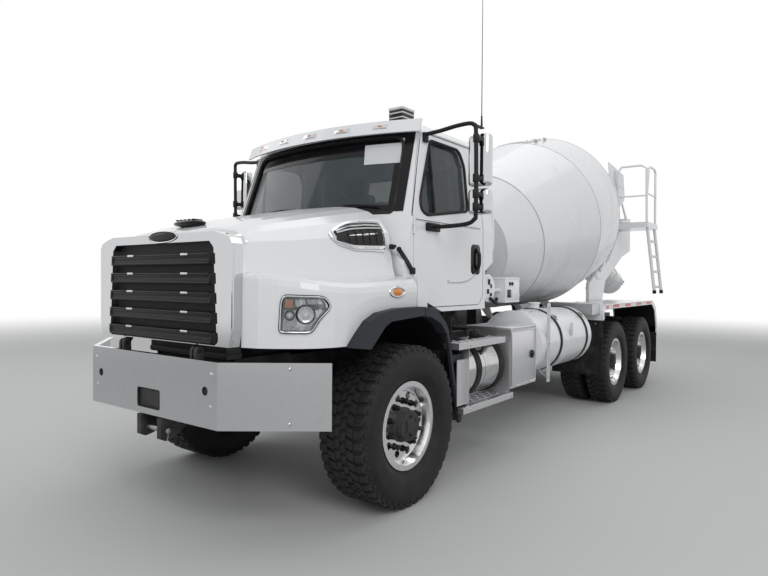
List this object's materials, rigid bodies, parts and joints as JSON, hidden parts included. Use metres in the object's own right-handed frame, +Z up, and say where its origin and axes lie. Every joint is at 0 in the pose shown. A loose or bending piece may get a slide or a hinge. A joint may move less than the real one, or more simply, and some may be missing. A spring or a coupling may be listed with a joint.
{
  "type": "concrete mixer truck",
  "caption": "Conventional-cab concrete mixer truck with an inclined rear-discharge drum, hopper, swinging chute and twin-tyred drive axles.",
  "frame": {"origin": "on the ground, below the middle of the truck's bounding box", "axes": "+Z up, -Y is the front with the bumper, +Y the rear with the chute, +X is the driver's side"},
  "size_m": [2.88, 9.8101, 3.93],
  "materials": {
    "white_paint": "gloss paint",
    "black_frame": "satin chassis paint",
    "black_plastic": "grained plastic",
    "rubber": "matt rubber",
    "tyre": "worn tread rubber",
    "polished_metal": "bright plating",
    "wheel_alloy": "polished",
    "tread_plate": "raised diamond plate",
    "bare_aluminium": "brushed",
    "cast_iron": "painted castings",
    "glass": "tinted safety glass",
    "dark_trim": "moulded trim",
    "seat_cloth": "woven cloth",
    "lamp_lens": "moulded lens",
    "mirror_black": "powder coat"
  },
  "bodies": {
    "chassis": {"frame_rails": "black_frame", "front_bumper": "polished_metal", "tow_bracket": "black_frame", "front_axle": "black_frame", "drive_axles": "cast_iron", "rear_suspension": "black_frame", "engine": "cast_iron", "cab_shell": "white_paint", "cab_glass": "glass", "dashboard": "dark_trim", "seats": "seat_cloth", "sun_visor": "white_paint", "fuel_tank": "wheel_alloy", "tank_straps": "rubber", "side_steps": "tread_plate", "toolbox": "tread_plate", "water_tank": "white_paint", "battery_box": "tread_plate", "exhaust_box": "tread_plate", "deck": "bare_aluminium", "rear_fenders": "white_paint", "mud_flaps": "rubber", "cab_flares": "black_plastic", "drum_drive": "white_paint", "rear_pedestal": "white_paint", "charge_hopper": "white_paint", "collector": "white_paint", "ladder": "white_paint", "control_box": "white_paint", "lamps": "lamp_lens"},
    "knuckle_left": {"knuckle_left": "cast_iron"},
    "knuckle_right": {"knuckle_right": "cast_iron"},
    "tie_rod": {"tie_rod": "black_frame"},
    "wheel_front_left": {"front_wheel_left": "wheel_alloy", "front_tyre_left": "tyre"},
    "wheel_front_right": {"front_wheel_right": "wheel_alloy", "front_tyre_right": "tyre"},
    "hood": {"hood": "white_paint", "grille": "black_plastic", "hood_trim": "polished_metal", "headlamps": "glass", "hood_flares": "black_plastic"},
    "door_left": {"door_left": "white_paint", "window_left": "glass", "mirror_left": "mirror_black"},
    "door_right": {"door_right": "white_paint", "window_right": "glass", "mirror_right": "mirror_black"},
    "drum": {"drum": "white_paint"},
    "chute_swivel": {"chute_swivel": "bare_aluminium"},
    "chute_main": {"chute_main": "white_paint"},
    "chute_fold": {"chute_fold": "white_paint"},
    "wheels_rear_1_left": {"rear_wheels_1_left": "wheel_alloy", "rear_tyres_1_left": "tyre"},
    "wheels_rear_1_right": {"rear_wheels_1_right": "wheel_alloy", "rear_tyres_1_right": "tyre"},
    "wheels_rear_2_left": {"rear_wheels_2_left": "wheel_alloy", "rear_tyres_2_left": "tyre"},
    "wheels_rear_2_right": {"rear_wheels_2_right": "wheel_alloy", "rear_tyres_2_right": "tyre"}
  },
  "joints": [
    {"name": "steer_left", "type": "hinge", "parent": "chassis", "child": "knuckle_left", "pos_m": [0.8, -3.617, 0.562], "axis": [0, 0, 1], "range_deg": [-30, 30]},
    {"name": "steer_right", "type": "hinge", "parent": "chassis", "child": "knuckle_right", "pos_m": [-0.8, -3.617, 0.562], "axis": [0, 0, 1], "range_deg": [-30, 30]},
    {"name": "tie_rod_pivot", "type": "hinge", "parent": "knuckle_left", "child": "tie_rod", "pos_m": [0.8, -3.467, 0.408], "axis": [0, 0, 1], "range_deg": [-30, 30]},
    {"name": "front_wheel_spin_left", "type": "hinge", "parent": "knuckle_left", "child": "wheel_front_left", "pos_m": [0.98, -3.617, 0.562], "axis": [1, 0, 0], "continuous": true},
    {"name": "rear_wheel_spin_1_left", "type": "hinge", "parent": "chassis", "child": "wheels_rear_1_left", "pos_m": [1.08, 1.088, 0.527], "axis": [1, 0, 0], "continuous": true},
    {"name": "rear_wheel_spin_2_left", "type": "hinge", "parent": "chassis", "child": "wheels_rear_2_left", "pos_m": [1.08, 2.408, 0.527], "axis": [1, 0, 0], "continuous": true},
    {"name": "front_wheel_spin_right", "type": "hinge", "parent": "knuckle_right", "child": "wheel_front_right", "pos_m": [-0.98, -3.617, 0.562], "axis": [1, 0, 0], "continuous": true},
    {"name": "rear_wheel_spin_1_right", "type": "hinge", "parent": "chassis", "child": "wheels_rear_1_right", "pos_m": [-1.08, 1.088, 0.527], "axis": [1, 0, 0], "continuous": true},
    {"name": "rear_wheel_spin_2_right", "type": "hinge", "parent": "chassis", "child": "wheels_rear_2_right", "pos_m": [-1.08, 2.408, 0.527], "axis": [1, 0, 0], "continuous": true},
    {"name": "hood_tilt", "type": "hinge", "parent": "chassis", "child": "hood", "pos_m": [0, -4.832, 1.135], "axis": [1, 0, 0], "range_deg": [0, 70]},
    {"name": "door_left_hinge", "type": "hinge", "parent": "chassis", "child": "door_left", "pos_m": [1.018, -3.396, 1.7], "axis": [0, 0, -1], "range_deg": [0, 68]},
    {"name": "door_right_hinge", "type": "hinge", "parent": "chassis", "child": "door_right", "pos_m": [-1.018, -3.396, 1.7], "axis": [0, 0, 1], "range_deg": [0, 68]},
    {"name": "drum_turn", "type": "hinge", "parent": "chassis", "child": "drum", "pos_m": [0, 0.675, 2.341], "axis": [0, 0.9677, 0.2521], "continuous": true},
    {"name": "chute_swing", "type": "hinge", "parent": "chassis", "child": "chute_swivel", "pos_m": [0, 3.773, 1.5], "axis": [0, 0, 1], "range_deg": [-65, 65]},
    {"name": "chute_lift", "type": "hinge", "parent": "chute_swivel", "child": "chute_main", "pos_m": [0, 3.833, 1.55], "axis": [1, 0, 0], "range_deg": [-12, 25]},
    {"name": "chute_unfold", "type": "hinge", "parent": "chute_main", "child": "chute_fold", "pos_m": [0, 4.85357, 1.58412], "axis": [-1, 0, 0], "range_deg": [0, 180]}
  ],
  "couplings": [
    {"joint": "steer_right", "follows": "steer_left", "ratio": 1},
    {"joint": "tie_rod_pivot", "follows": "steer_left", "ratio": -1}
  ]
}
